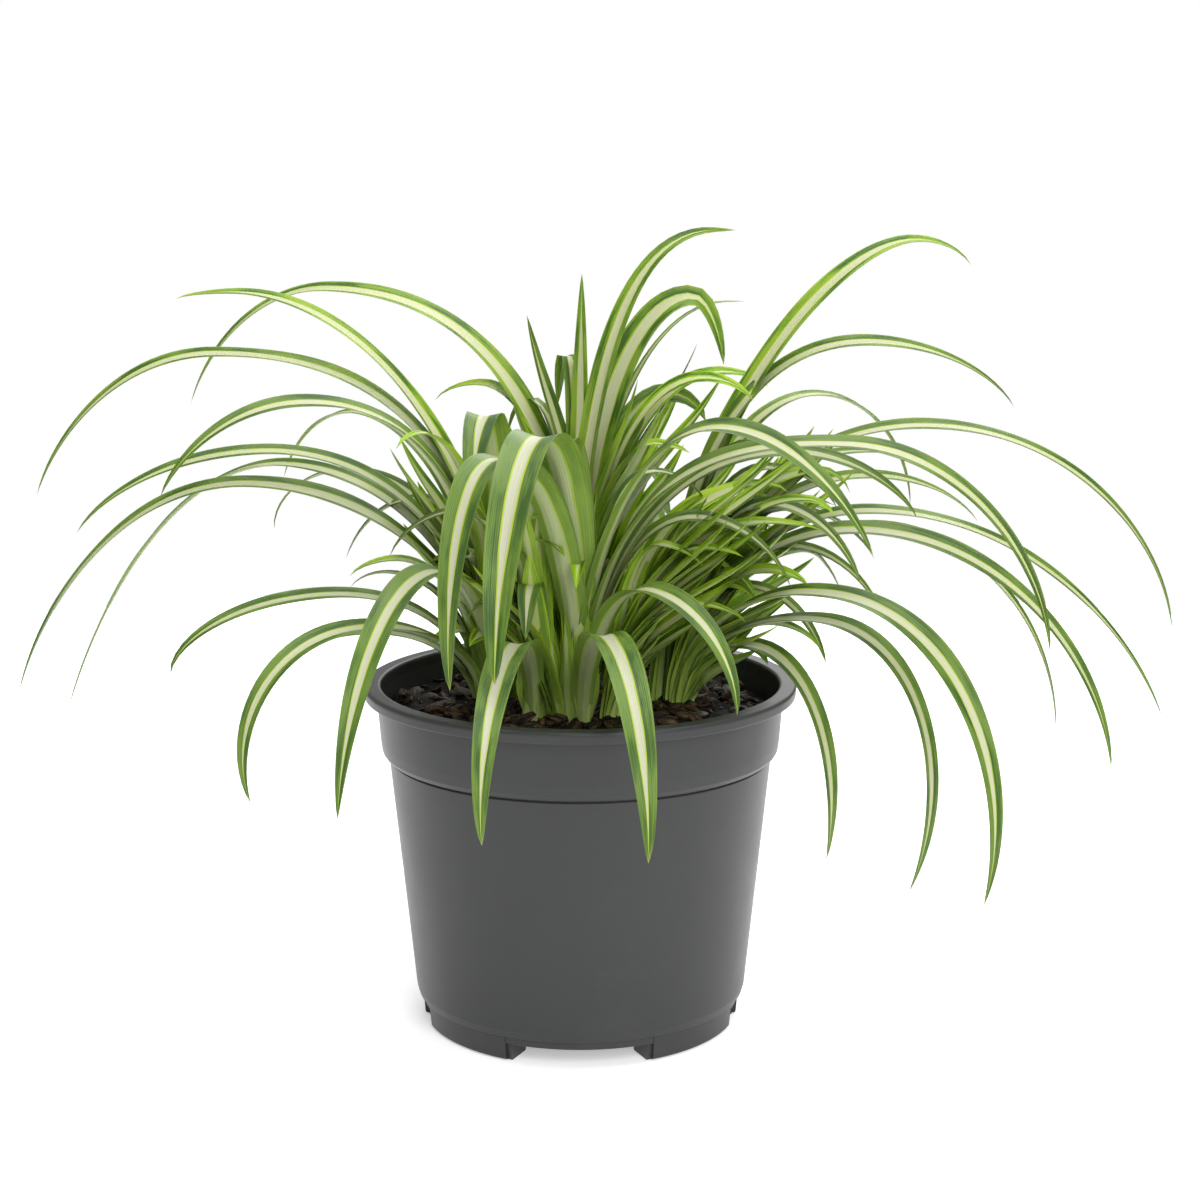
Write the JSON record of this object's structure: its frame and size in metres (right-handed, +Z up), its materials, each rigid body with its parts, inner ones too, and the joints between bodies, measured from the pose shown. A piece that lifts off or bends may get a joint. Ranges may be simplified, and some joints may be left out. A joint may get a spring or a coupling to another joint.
{
  "type": "potted spider plant",
  "caption": "Leafy house plant with long arching, cream-striped blades, growing in dark potting mix in a tapering round nursery pot with a wide flat lip.",
  "frame": {"origin": "middle of the pot's foot, on the surface that it stands on", "axes": "+Z up along the pot's axis; +X to the right and -Y to the front, as the picture shows the plant; the leaves reach furthest along X"},
  "size_m": [0.3525, 0.2393, 0.2406],
  "materials": {
    "pot_plastic": "dark grey injection-moulded plastic, semi-matte, with a soft sheen on the lip",
    "potting_mix": "moist dark peat with chips of bark",
    "leaf": "satin leaf, green margins with a cream stripe down the middle"
  },
  "bodies": {
    "root": {"pot": "pot_plastic", "potting_mix": "potting_mix", "rosette_front": "leaf", "rosette_left": "leaf", "rosette_right": "leaf", "rosette_centre": "leaf", "rosette_back": "leaf"}
  },
  "joints": []
}
